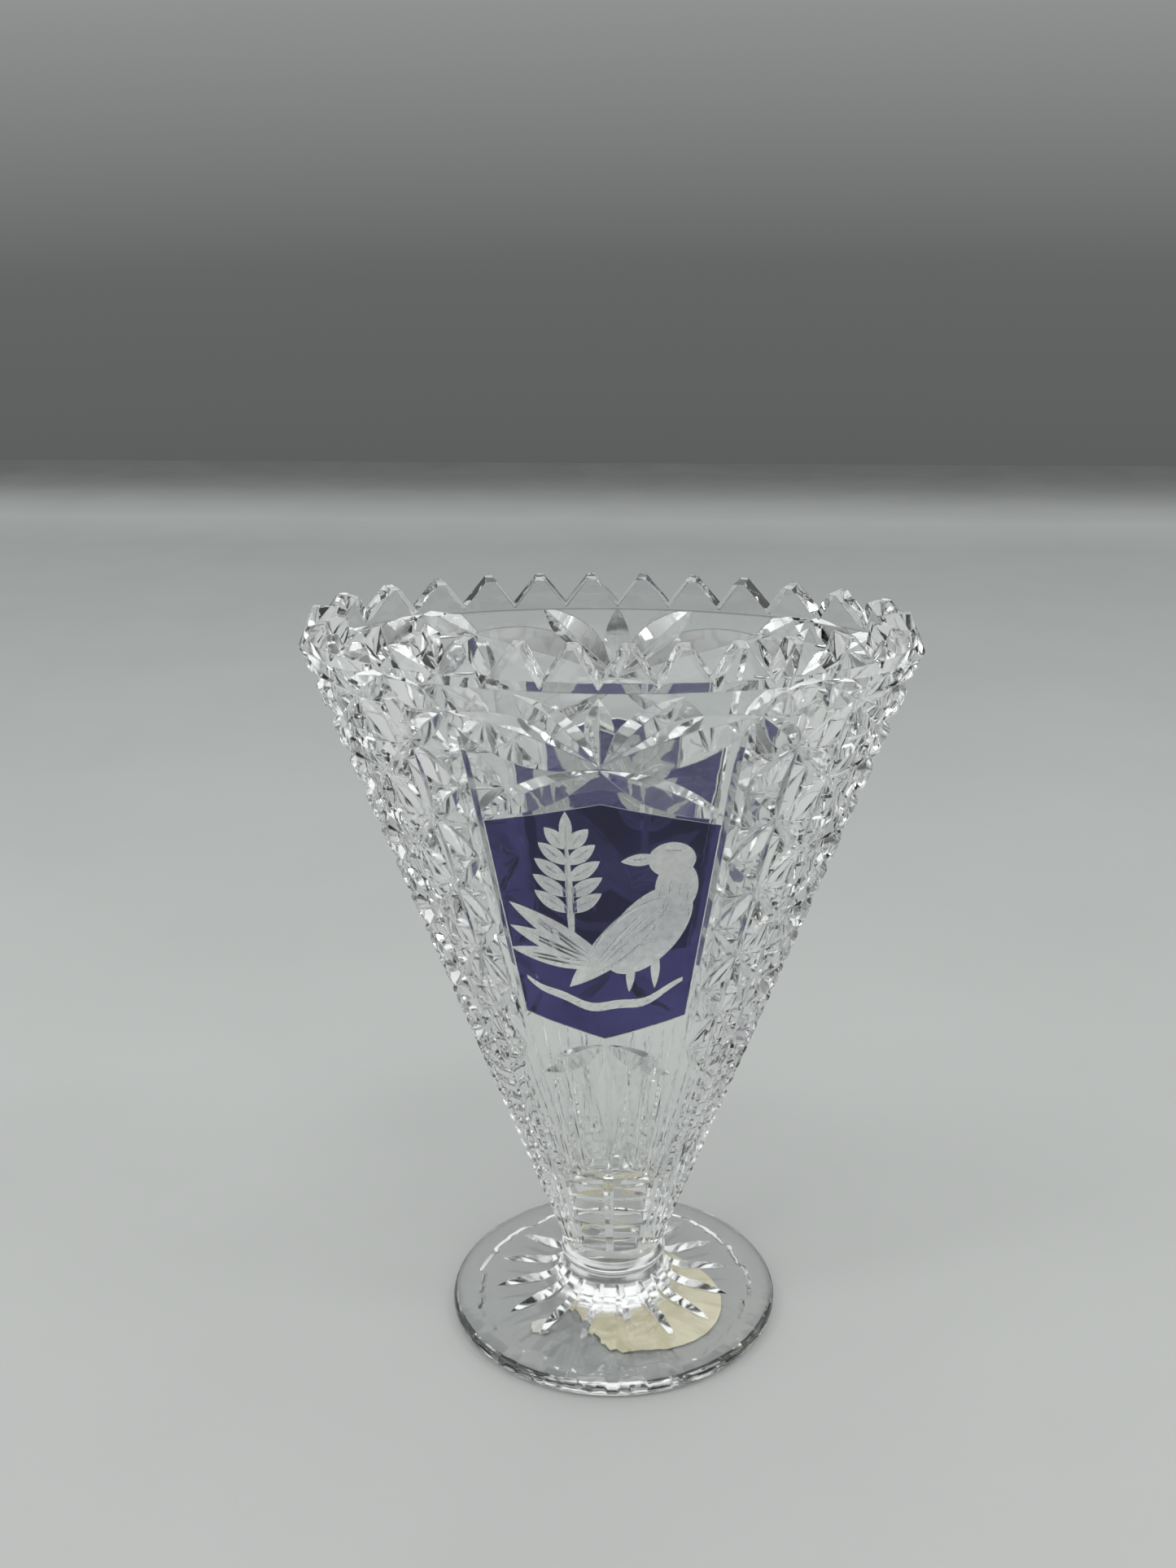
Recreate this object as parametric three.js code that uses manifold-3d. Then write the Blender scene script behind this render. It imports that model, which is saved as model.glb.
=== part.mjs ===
// A cut crystal vase: an oval bowl, fanning out from a solid neck, fused through a small glass
// collar to a round foot. Both faces carry a blue stained panel with a clear bird, twig and sprig.
// Millimetres, +Z up, origin at the middle of the foot's underside. The wide way of the bowl is X,
// and the front faces -Y. Places around the bowl are given in teeth of the rim: 0 is the middle of
// the front, a quarter of toothCount is the +X end.

import * as THREE from 'three';
import { ConvexGeometry } from 'three/addons/geometries/ConvexGeometry.js';
import { ParametricGeometry } from 'three/addons/geometries/ParametricGeometry.js';
import { mergeVertices } from 'three/addons/utils/BufferGeometryUtils.js';
import Module from 'manifold-3d';

const wasm = await Module();
wasm.setup();

// ---- Driving dimensions ----

const totalHeight = 150;
const pieceGap = 0.3;

const footRadius = 33.5;
const footEdgeHeight = 3.4;
const footEdgeRounding = 1.4;
const footStemHeight = 11.4;
const footFlareRadius = 17;
const footFlareShare = 0.7;
const footRingWidth = 4.5;
const footHollowDepth = 0.8;
const footCutCount = 16;
const footCutStart = 3;
const footCutLength = 13;
const footCutDepth = 1.2;
const footCutFill = 0.62;

const neckRadius = 10;
const collarHeight = 3;
const collarBulge = 0.8;

const beadHalfWidth = 57.5;
const beadHalfDepth = 27.6;
const rimLean = 2.8;
const wall = 5;
const cavityFloorThickness = 15;
const cavityFloorRounding = 6;

const toothCount = 26;
const toothHeight = 5.8;
const toothTipFlat = 0.1;
const toothFootHeight = 0.9;

const borderTurns = 0.36;
const starColumnCount = 4;
const starRowStep = 7.5;
const starRowShrink = 0.1;
const starRowCount = 11;
const starTopDrop = 5.5;
const starDepth = 2.6;
const grooveDepth = 2;

const panelHalfTurn = 2.42;
const panelTopDrop = 26.5;
const panelHeight = 41;
const panelPeak = 4.8;
const stainThickness = 0.45;
const stainSink = 0.1;

const bigStarDrop = 14.5;
const rayDepth = 2;
const rayWidth = 5;
const borderRayWidth = 6;
const crownTurn = 1.36;
const crownGap = 1.5;
const leafTurn = 2.25;
const leafTopDrop = 8;
const leafEndDrop = 13;
const lensTopDrop = 11.5;
const fluteTopDrop = 15;
const fluteRise = 23;
const fluteTurns = [1.3, 1.55];
const fluteWidth = 4.5;
const fluteDepth = 1.5;
const sideFluteTurns = [2.7, 3.7, 4.7];
const sideFluteRise = 5;
const sideFluteWidth = 3.6;
const sideFluteDepth = 1.2;
const ladderStepCount = 6;
const ladderRise = 3;
const ladderTurns = [0.4, 2.3];
const ladderStepShare = 0.8;
const ladderStepDepth = 1;
const beadNotchStep = 4;
const beadNotchHalfTurn = 0.7;
const beadNotchWidth = 2.4;
const beadNotchDepth = 1.4;

const labelRadius = 15;
const labelThickness = 0.2;
const labelDrift = 0.74;
const labelBearing = -36;
const labelTear = [235, 262];
const labelScrapReach = 1.11;

// ---- Sizes that follow ----

const collarBottom = footStemHeight + pieceGap;
const bowlBottom = collarBottom + collarHeight + pieceGap;
const beadHeight = totalHeight - toothHeight - toothFootHeight;
const valleyHeight = totalHeight - toothHeight;
const cavityFloor = bowlBottom + cavityFloorThickness;
const bigStarHeight = beadHeight - bigStarDrop;
const panelTop = beadHeight - panelTopDrop;
const panelBottom = panelTop - panelHeight;
const stainRecess = stainSink + stainThickness + pieceGap;
const endTurn = toothCount / 4;
const borderTurn = panelHalfTurn + borderTurns;
const starColumnStep = (endTurn - borderTurn) / starColumnCount;
const starRows = Array.from(
  { length: starRowCount },
  (_, row) => beadHeight - starTopDrop - starRowStep * row + starRowShrink * row * (row - 1) / 2,
);
const starBottom = starRows[starRowCount - 1];
const footHollowRadius = footRadius - footEdgeRounding - footRingWidth;
const footFlareDepth = (footStemHeight - footEdgeHeight) * footFlareShare;

// ---- Solids ----

function toSolid(geometry) {
  const bare = geometry.index ? geometry.clone() : geometry;
  for (const name of ['normal', 'uv']) bare.deleteAttribute(name);
  const merged = mergeVertices(bare, 1e-4);
  const mesh = new wasm.Mesh({
    numProp: 3,
    vertProperties: new Float32Array(merged.attributes.position.array),
    triVerts: new Uint32Array(merged.index.array),
  });
  mesh.merge();
  return new wasm.Manifold(mesh);
}

function toGeometry(solid) {
  const mesh = solid.getMesh();
  const geometry = new THREE.BufferGeometry();
  geometry.setAttribute('position', new THREE.BufferAttribute(mesh.vertProperties, 3));
  geometry.setIndex(new THREE.BufferAttribute(mesh.triVerts, 1));
  geometry.computeVertexNormals();
  return geometry;
}

// A closed body through rings of points. The first and the last ring are drawn in to a point.
function ringSolid(rings) {
  const stacks = rings.length - 1;
  const slices = rings[0].length;
  const surface = (u, v, target) => {
    const ring = rings[Math.round(v * stacks)];
    target.copy(ring[Math.round(u * slices) % slices]);
  };
  return toSolid(new ParametricGeometry(surface, slices, stacks));
}

// ---- The oval wall ----

function wallAxes(height) {
  if (height > beadHeight) {
    const lean = rimLean * (height - beadHeight) / (totalHeight - beadHeight);
    return [beadHalfWidth - lean, beadHalfDepth - lean];
  }
  const share = (height - bowlBottom) / (beadHeight - bowlBottom);
  return [
    THREE.MathUtils.lerp(neckRadius, beadHalfWidth, share),
    THREE.MathUtils.lerp(neckRadius, beadHalfDepth, share),
  ];
}

const ovals = new Map();

function ovalAt(height) {
  if (!ovals.has(height)) {
    const [halfWidth, halfDepth] = wallAxes(height);
    const start = -Math.PI / 2;
    ovals.set(height, new THREE.EllipseCurve(0, 0, halfWidth, halfDepth, start, start + 2 * Math.PI));
  }
  return ovals.get(height);
}

// A point of the wall, or inside it by the inset. Above the rim it stays over the rim's oval.
function wallPoint(turn, height, inset = 0) {
  const oval = ovalAt(Math.min(height, totalHeight));
  const share = ((turn / toothCount) % 1 + 1) % 1;
  const point = oval.getPointAt(share);
  const normal = new THREE.Vector2(point.x / oval.xRadius ** 2, point.y / oval.yRadius ** 2);
  point.addScaledVector(normal.normalize(), -inset);
  return new THREE.Vector3(point.x, point.y, height);
}

// Grid columns: even steps over the panel, then half steps of the star lattice, in all four quarters.
function gridColumns() {
  const panelSteps = 5;
  const quarter = [];
  for (let i = 0; i <= panelSteps; i++) quarter.push({ turn: panelHalfTurn * i / panelSteps, lattice: -1 });
  for (let i = 0; i <= 2 * starColumnCount; i++) {
    quarter.push({ turn: borderTurn + starColumnStep * i / 2, lattice: i });
  }
  const mirrored = quarter.slice(1, -1).reverse();
  const half = [...quarter, ...mirrored.map((c) => ({ ...c, turn: toothCount / 2 - c.turn }))];
  half.push({ turn: toothCount / 2, lattice: -1 });
  const back = half.slice(1, -1).map((c) => ({ ...c, turn: c.turn + toothCount / 2 }));
  return [...half, ...back];
}

const columns = gridColumns();

function ringAt(height, inset = 0) {
  return columns.map((column) => wallPoint(column.turn, height, inset));
}

function pointRing(height) {
  return columns.map(() => new THREE.Vector3(0, 0, height));
}

// How deep the cuts are at a crossing of the grid in the star lattice. Stars stand on every other
// crossing, V-cuts join them, and a point of uncut glass is left in the middle of each triangle.
function latticeDepth(column, row) {
  if (column < 0) return 0;
  const onColumn = column % 2 === 0;
  const onRow = row % 2 === 0;
  if (!onColumn) return onRow ? 0 : grooveDepth;
  return onRow && (column + row) % 4 === 0 ? starDepth : grooveDepth;
}

function outerRings() {
  const rings = [];
  const plainRows = 6;
  for (let i = 0; i < plainRows; i++) {
    rings.push(ringAt(THREE.MathUtils.lerp(bowlBottom, starBottom, i / plainRows)));
  }
  for (let row = 2 * (starRowCount - 1); row >= 0; row--) {
    const below = starRows[Math.ceil(row / 2)];
    const above = starRows[Math.floor(row / 2)];
    const height = (below + above) / 2;
    rings.push(columns.map((c) => wallPoint(c.turn, height, latticeDepth(c.lattice, row))));
  }
  rings.push(ringAt(beadHeight), ringAt(totalHeight));
  return rings;
}

function cavityRings() {
  const rings = [ringAt(totalHeight, wall), ringAt(beadHeight, wall)];
  const straightRows = 6;
  const roundingTop = cavityFloor + cavityFloorRounding;
  for (let i = 1; i <= straightRows; i++) {
    rings.push(ringAt(THREE.MathUtils.lerp(beadHeight, roundingTop, i / straightRows), wall));
  }
  for (const angle of [30, 60, 80]) {
    const radians = THREE.MathUtils.degToRad(angle);
    const height = roundingTop - cavityFloorRounding * Math.sin(radians);
    const ring = ringAt(roundingTop, wall);
    for (const point of ring) point.multiplyScalar(Math.cos(radians)).setZ(height);
    rings.push(ring);
  }
  rings.push(pointRing(cavityFloor));
  return rings;
}

// The wall filled solid, its surface moved in by the inset, between two heights.
function filledWall(inset, bottom, top) {
  const rows = 8;
  const rings = [pointRing(bottom)];
  for (let i = 0; i <= rows; i++) rings.push(ringAt(THREE.MathUtils.lerp(bottom, top, i / rows), inset));
  rings.push(pointRing(top));
  return ringSolid(rings);
}

// ---- Cuts in the bowl ----

function toothNotch(index) {
  const overshoot = 2;
  const spread = (0.5 - toothTipFlat / 2) * (toothHeight + overshoot) / toothHeight;
  const points = [];
  for (const inset of [-overshoot, wall + overshoot]) {
    points.push(wallPoint(index, valleyHeight, inset));
    for (const side of [-spread, spread]) {
      points.push(wallPoint(index + side, totalHeight + overshoot, inset));
    }
  }
  return toSolid(new ConvexGeometry(points));
}

// A lens-shaped wheel cut from one place on the wall to another, deepest in the middle.
function lensCut([fromTurn, fromHeight], [toTurn, toHeight], width, depth) {
  const clearOfWall = 1.5;
  const start = wallPoint(fromTurn, fromHeight);
  const end = wallPoint(toTurn, toHeight);
  const middlePlace = [(fromTurn + toTurn) / 2, (fromHeight + toHeight) / 2];
  const middle = wallPoint(...middlePlace);
  const outward = wallPoint(...middlePlace, -1).sub(middle);
  const along = end.clone().sub(start).normalize();
  const across = new THREE.Vector3().crossVectors(along, outward).normalize().multiplyScalar(width / 2);
  const lift = outward.clone().multiplyScalar(clearOfWall);
  return toSolid(new ConvexGeometry([
    start, end, start.clone().add(lift), end.clone().add(lift),
    middle.clone().add(across), middle.clone().sub(across),
    middle.clone().add(across).add(lift), middle.clone().sub(across).add(lift),
    middle.clone().addScaledVector(outward, -depth),
  ]));
}

// One face's cuts around turn 0, each given once and mirrored: the big star and its crown of rays,
// then under the panel two leaves, a lens between flutes, and a ladder of short steps on the neck.
function faceCuts() {
  const star = [0, bigStarHeight];
  const crownHeight = beadHeight - crownGap;
  const fluteTop = panelBottom - fluteTopDrop;
  const fluteBottom = bowlBottom + fluteRise;
  const cuts = [
    lensCut(star, [0, crownHeight], rayWidth, rayDepth),
    lensCut([0, panelBottom - lensTopDrop], [0, fluteBottom], rayWidth, rayDepth),
  ];
  const leafTop = panelBottom - leafTopDrop;
  const leafEnd = panelBottom - leafEndDrop;
  const ladderBottom = bowlBottom + ladderRise;
  const ladderStep = (fluteBottom - ladderBottom) / ladderStepCount;
  for (const side of [-1, 1]) {
    cuts.push(lensCut(star, [side * crownTurn, crownHeight], rayWidth, rayDepth));
    cuts.push(lensCut(star, [side * borderTurn, starRows[0]], borderRayWidth, rayDepth));
    cuts.push(lensCut(star, [side * panelHalfTurn, panelTop + pieceGap], fluteWidth, rayDepth));
    cuts.push(lensCut([0, leafTop], [side * leafTurn, leafEnd], fluteWidth, fluteDepth));
    const [topTurn, bottomTurn] = fluteTurns;
    cuts.push(lensCut([side * topTurn, fluteTop], [side * bottomTurn, fluteBottom], fluteWidth, fluteDepth));
    for (const turn of sideFluteTurns) {
      const top = [side * turn, starBottom - 1];
      cuts.push(lensCut(top, [side * turn, bowlBottom + sideFluteRise], sideFluteWidth, sideFluteDepth));
    }
    for (let i = 0; i < ladderStepCount; i++) {
      const height = ladderBottom + ladderStep * (i + 0.5);
      const [inner, outer] = ladderTurns.map((turn) => [side * turn, height]);
      cuts.push(lensCut(inner, outer, ladderStep * ladderStepShare, ladderStepDepth));
    }
  }
  return cuts;
}

// Notches down the narrow end below the lattice, leaving a string of small beads.
function endNotches() {
  const notches = [];
  const lowest = bowlBottom + beadNotchStep;
  for (let height = starBottom - beadNotchStep; height > lowest; height -= beadNotchStep) {
    const [left, right] = [-1, 1].map((side) => [endTurn + side * beadNotchHalfTurn, height]);
    notches.push(lensCut(left, right, beadNotchWidth, beadNotchDepth));
  }
  return notches;
}

function bothFaces(solids) {
  return [...solids, ...solids.map((solid) => solid.rotate([0, 0, 180]))];
}

function bowl() {
  const rings = [pointRing(bowlBottom), ...outerRings(), ...cavityRings()];
  const notches = Array.from({ length: toothCount }, (_, index) => toothNotch(index));
  const recess = bothFaces([panelBlock(-1, stainRecess, 0)]);
  const cuts = bothFaces([...faceCuts(), ...endNotches()]);
  return wasm.Manifold.difference([ringSolid(rings), ...notches, ...recess, ...cuts]);
}

// ---- Stained panel ----

// A block of the wall between two insets, inside the panel's outline drawn in by the margin.
function panelBlock(outerInset, innerInset, margin) {
  const bottom = panelBottom - panelPeak - 2;
  const top = panelTop + panelPeak + 2;
  const skin = filledWall(outerInset, bottom, top).subtract(filledWall(innerInset, bottom - 1, top + 1));
  const cornerX = (height) => wallPoint(panelHalfTurn, height).x - margin;
  const outline = [
    [-cornerX(panelBottom), panelBottom + margin],
    [0, panelBottom - panelPeak + margin],
    [cornerX(panelBottom), panelBottom + margin],
    [cornerX(panelTop), panelTop - margin],
    [0, panelTop + panelPeak - margin],
    [-cornerX(panelTop), panelTop - margin],
  ];
  return skin.intersect(frontPrism(new THREE.Shape(outline.map(([x, z]) => new THREE.Vector2(x, z)))));
}

// An outline in the X and Z directions, carried from the middle of the vase out past the front.
function frontPrism(shape) {
  const options = { depth: beadHalfDepth + 5, bevelEnabled: false, curveSegments: 5 };
  const prism = new THREE.ExtrudeGeometry(shape, options);
  prism.rotateX(Math.PI / 2);
  return toSolid(prism);
}

// A pointed leaf from one point to another, with its widest place half way.
function leaf(x0, z0, x1, z1, width) {
  const alongX = x1 - x0;
  const alongZ = z1 - z0;
  const length = Math.hypot(alongX, alongZ);
  const offX = -alongZ / length * width;
  const offZ = alongX / length * width;
  const middle = [(x0 + x1) / 2, (z0 + z1) / 2];
  const shape = new THREE.Shape();
  shape.moveTo(x0, z0);
  shape.quadraticCurveTo(middle[0] + offX, middle[1] + offZ, x1, z1);
  shape.quadraticCurveTo(middle[0] - offX, middle[1] - offZ, x0, z0);
  return shape;
}

function oval(x, z, halfLength, halfWidth, tilt) {
  const shape = new THREE.Shape();
  shape.absellipse(x, z, halfLength, halfWidth, 0, 2 * Math.PI, false, tilt);
  return shape;
}

// A plain small bird on a twig, beside a sprig of leaves. Places are from the panel's lower edge.
function motifShapes() {
  const z = panelBottom;
  const shapes = [
    oval(9, z + 20, 11, 6.3, 0.95),
    oval(14, z + 29, 5.5, 3.6, 1.5),
    oval(13, z + 34.5, 4.2, 3.8, 0),
    leaf(11, z + 35, 3.6, z + 34, 2.4),
    leaf(13, z + 28, -7, z + 8, 6.5),
    leaf(5, z + 13, 4.4, z + 6.4, 1.6),
    leaf(9.5, z + 15, 9, z + 7.6, 1.6),
    leaf(-5.5, z + 14, -6.2, z + 44, 1.5),
  ];
  for (const lift of [8, 13.5, 19]) shapes.push(leaf(0, z + 12, -17, z + 6 + lift, 2.6));
  for (const lift of [27, 31.5, 36]) {
    for (const side of [-1, 1]) shapes.push(leaf(-5.9, z + lift, -5.9 + side * 5.2, z + lift + 4.2, 2));
  }
  const twig = new THREE.Shape();
  twig.moveTo(-14.5, z + 8.5);
  twig.quadraticCurveTo(-1, z - 4, 14.5, z + 8.5);
  twig.quadraticCurveTo(-1, z, -14.5, z + 8.5);
  shapes.push(twig);
  return shapes;
}

function stainedPanel() {
  const layer = panelBlock(stainSink, stainSink + stainThickness, pieceGap);
  return wasm.Manifold.difference([layer, ...motifShapes().map(frontPrism)]);
}

// ---- Collar, foot and label ----

function lathed(outline, segments = 48) {
  const points = outline.map(([radius, height]) => new THREE.Vector2(radius, height));
  return toSolid(new THREE.LatheGeometry(points, segments).rotateX(Math.PI / 2));
}

function collar() {
  const top = collarBottom + collarHeight;
  const middle = (collarBottom + top) / 2;
  const bulge = [neckRadius + collarBulge, middle];
  return lathed([[0, collarBottom], [neckRadius, collarBottom], bulge, [neckRadius, top], [0, top]]);
}

function foot() {
  const flare = [];
  const flareSteps = 6;
  for (let i = 0; i <= flareSteps; i++) {
    const angle = Math.PI / 2 * i / flareSteps;
    const radius = footFlareRadius - (footFlareRadius - neckRadius) * Math.sin(angle);
    flare.push([radius, footStemHeight - footFlareDepth * Math.cos(angle)]);
  }
  const edge = [];
  for (const angle of [-90, -45, 0, 45, 90]) {
    const radians = THREE.MathUtils.degToRad(angle);
    const middle = angle <= 0 ? footEdgeRounding : footEdgeHeight - footEdgeRounding;
    edge.push([
      footRadius - footEdgeRounding * (1 - Math.cos(radians)),
      middle + footEdgeRounding * Math.sin(radians),
    ]);
  }
  const body = lathed([
    [0, footHollowDepth], [footHollowRadius, footHollowDepth], [footHollowRadius, 0],
    ...edge, ...flare, [0, footStemHeight],
  ]);
  return wasm.Manifold.difference([body, ...footCuts()]);
}

// Lens-shaped cuts raying out from the stem over the top of the foot.
function footCuts() {
  const inner = neckRadius + footCutStart;
  const outer = inner + footCutLength;
  const middle = (inner + outer) / 2;
  const topAt = (radius) => THREE.MathUtils.mapLinear(
    radius, footFlareRadius, footRadius, footStemHeight - footFlareDepth, footEdgeHeight,
  );
  const halfWidth = Math.PI * middle / footCutCount * footCutFill;
  const outline = [[inner, 0], [outer, 0], [middle, halfWidth], [middle, -halfWidth]];
  const cutter = toSolid(new ConvexGeometry([
    ...outline.map(([x, y]) => new THREE.Vector3(x, y, footStemHeight)),
    ...outline.map(([x, y]) => new THREE.Vector3(x, y, topAt(x))),
    new THREE.Vector3(middle, 0, topAt(middle) - footCutDepth),
  ]));
  const bearing = (i) => (i + 0.5) * 360 / footCutCount;
  return Array.from({ length: footCutCount }, (_, i) => cutter.rotate([0, 0, bearing(i)]));
}

// A round paper label lying off centre in the hollow under the foot, with one torn scrap at its edge.
function label() {
  const [tornFrom, tornTo] = labelTear.map(THREE.MathUtils.degToRad);
  const scrapEdge = labelRadius * labelScrapReach;
  const scrapTaper = 0.1;
  const shape = new THREE.Shape();
  shape.absarc(0, 0, labelRadius, tornTo, tornFrom + 2 * Math.PI, false);
  for (const angle of [tornFrom + scrapTaper, tornTo - scrapTaper]) {
    shape.lineTo(scrapEdge * Math.cos(angle), scrapEdge * Math.sin(angle));
  }
  shape.closePath();
  const options = { depth: labelThickness, bevelEnabled: false, curveSegments: 20 };
  const disc = new THREE.ExtrudeGeometry(shape, options);
  const offCentre = labelDrift * (footHollowRadius - labelRadius);
  const bearing = THREE.MathUtils.degToRad(labelBearing);
  const height = footHollowDepth - pieceGap - labelThickness;
  disc.translate(offCentre * Math.cos(bearing), offCentre * Math.sin(bearing), height);
  return toSolid(disc);
}

// ---- The assembly ----

const crystal = { color: 0xeef3f3, roughness: 0.03, metalness: 0 };
const blueStain = { color: 0x2a2570, roughness: 0.05, metalness: 0 };
const paper = { color: 0xe9dfae, roughness: 0.9, metalness: 0 };

const vase = new THREE.Group();

function addPiece(name, solid, finish) {
  const mesh = new THREE.Mesh(toGeometry(solid), new THREE.MeshStandardMaterial(finish));
  mesh.name = name;
  vase.add(mesh);
  return mesh;
}

addPiece('bowl', bowl(), crystal);
addPiece('joining_collar', collar(), crystal);
addPiece('foot', foot(), crystal);
addPiece('front_blue_panel', stainedPanel(), blueStain);
addPiece('back_blue_panel', stainedPanel(), blueStain).rotation.z = Math.PI;
addPiece('base_label', label(), paper);

export default vase;
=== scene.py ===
"""Looks of the cut crystal vase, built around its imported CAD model.

The glass is made as a glass cutter makes it: a smooth oval blank, then V-section and round wheel
cuts taken out of it. Sizes are in millimetres, in the CAD frame, and turned into metres as each
mesh is made. Places on the bowl are (turn, height): turn counts the teeth of the rim, from the
middle of the front round to the +X end at 6.5.
"""

import math

import bmesh
import bpy
import numpy as np
from mathutils import Matrix, Vector


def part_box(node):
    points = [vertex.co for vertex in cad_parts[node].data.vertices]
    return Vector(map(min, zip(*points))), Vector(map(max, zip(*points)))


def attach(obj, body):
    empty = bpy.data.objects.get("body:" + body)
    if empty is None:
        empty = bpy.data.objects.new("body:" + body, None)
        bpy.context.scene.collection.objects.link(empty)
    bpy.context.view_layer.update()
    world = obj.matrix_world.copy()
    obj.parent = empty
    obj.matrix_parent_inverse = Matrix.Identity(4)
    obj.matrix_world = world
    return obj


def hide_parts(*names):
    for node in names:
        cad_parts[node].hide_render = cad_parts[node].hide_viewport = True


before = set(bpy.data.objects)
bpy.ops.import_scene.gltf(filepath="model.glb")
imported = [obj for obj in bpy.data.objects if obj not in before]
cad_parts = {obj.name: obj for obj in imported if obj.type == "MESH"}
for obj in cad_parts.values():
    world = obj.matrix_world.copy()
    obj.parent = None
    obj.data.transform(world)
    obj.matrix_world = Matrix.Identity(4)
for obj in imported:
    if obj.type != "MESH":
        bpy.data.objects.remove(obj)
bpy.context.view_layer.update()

MM = 0.001


def box_mm(node):
    """A CAD node's lowest and highest corners, in millimetres."""
    return [np.array(corner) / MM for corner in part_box(node)]


# ---- Sizes ----

BOWL_LOW, BOWL_HIGH = box_mm("bowl")
COLLAR_HIGH = box_mm("joining_collar")[1]
FOOT_HIGH = box_mm("foot")[1]
LABEL_LOW, LABEL_HIGH = box_mm("base_label")

BOTTOM, TOP = BOWL_LOW[2], BOWL_HIGH[2]
HALF_WIDTH, HALF_DEPTH = BOWL_HIGH[0], BOWL_HIGH[1]
NECK_RADIUS = 10.0
TEETH = 26
TOOTH_HEIGHT = 5.8
BEAD = TOP - TOOTH_HEIGHT - 0.9
RIM_LEAN = 2.8
WALL = 5.0
CAVITY_FLOOR = BOTTOM + 15
CAVITY_ROUNDING = 6.0

END = TEETH / 4
BORDER = 2.78
COLUMN_STEP = (END - BORDER) / 4
ROWS = [BEAD - 5.5 - 7.5 * row + 0.05 * row * (row - 1) for row in range(11)]
STAR_DEPTH_TOP, STAR_DEPTH_LOW = 1.9, 1.15
STAR = (0.0, BEAD - 14.5)

PANEL_TURN = 2.42
PANEL_TOP = BEAD - 26.5
PANEL_BOTTOM = PANEL_TOP - 41
PANEL_PEAK = 4.8
STAIN_TOP, STAIN_LOW, STAIN_SEAT = 0.1, 0.5, 0.53


# ---- Mesh helpers ----


def facing_out(points, faces):
    """The faces, all turned over if they enclose a negative volume."""
    volume = 0.0
    for face in faces:
        first = points[face[0]]
        for i in range(1, len(face) - 1):
            volume += np.dot(first, np.cross(points[face[i]], points[face[i + 1]]))
    return faces if volume > 0 else [tuple(reversed(face)) for face in faces]


def make_object(name, points, faces):
    mesh = bpy.data.meshes.new(name)
    mesh.from_pydata((np.asarray(points) * MM).tolist(), [], faces)
    mesh.validate()
    thing = bpy.data.objects.new(name, mesh)
    bpy.context.scene.collection.objects.link(thing)
    return thing


def ring_faces(rings, count, first=0):
    """Quads between closed rings of points, stored one ring after another."""
    faces = []
    for ring in range(rings - 1):
        low, high = first + ring * count, first + (ring + 1) * count
        for i in range(count):
            j = (i + 1) % count
            faces.append((low + i, low + j, high + j, high + i))
    return faces


def closed_loft(name, rings):
    """A closed body through rings of points, with its two ends filled by fans."""
    count = len(rings[0])
    middle = [rings[0].mean(0), rings[-1].mean(0)]
    points = np.vstack([*rings, *middle])
    faces = ring_faces(len(rings), count)
    start, end = len(rings) * count, len(rings) * count + 1
    last = (len(rings) - 1) * count
    for i in range(count):
        j = (i + 1) % count
        faces.append((start, j, i))
        faces.append((end, last + i, last + j))
    return make_object(name, points, facing_out(points, faces))


def finished(thing, angle=14):
    """The object with its modifiers applied, smooth apart from edges sharper than the angle."""
    graph = bpy.context.evaluated_depsgraph_get()
    mesh = bpy.data.meshes.new_from_object(thing.evaluated_get(graph))
    thing.modifiers.clear()
    thing.data = mesh
    mesh.name = thing.name
    mesh.shade_smooth()
    mesh.set_sharp_from_angle(angle=math.radians(angle))
    return thing


def cut(thing, cutter, operation="DIFFERENCE"):
    modifier = thing.modifiers.new(cutter.name, "BOOLEAN")
    modifier.operation = operation
    modifier.solver = "MANIFOLD"
    modifier.object = cutter
    cutter.hide_render = True
    return thing


def open_end(thing, height):
    """Takes away the flat end at that height, where the glass is fused to the next piece."""
    level = height * MM
    mesh = bmesh.new()
    mesh.from_mesh(thing.data)
    flat = [f for f in mesh.faces if all(abs(v.co.z - level) < 2e-5 for v in f.verts)]
    bmesh.ops.delete(mesh, geom=flat, context="FACES")
    mesh.to_mesh(thing.data)
    mesh.free()
    return thing


def drop(things):
    for thing in things:
        bpy.data.objects.remove(thing)


# ---- The oval wall ----

ANGLES = np.linspace(-math.pi / 2, 3 * math.pi / 2, 1441)
ASPECTS = np.linspace(0.46, 1.0, 28)


def arc_shares(aspect):
    points = np.stack([np.cos(ANGLES), aspect * np.sin(ANGLES)], 1)
    lengths = np.concatenate([[0], np.cumsum(np.linalg.norm(np.diff(points, axis=0), axis=1))])
    return lengths / lengths[-1]


SHARES = [arc_shares(aspect) for aspect in ASPECTS]


def oval_axes(height):
    lean = RIM_LEAN * np.clip((height - BEAD) / (TOP - BEAD), 0, 1)
    share = np.minimum((height - BOTTOM) / (BEAD - BOTTOM), 1)
    return [
        NECK_RADIUS + (half - NECK_RADIUS) * share - lean
        for half in (HALF_WIDTH, HALF_DEPTH)
    ]


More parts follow.
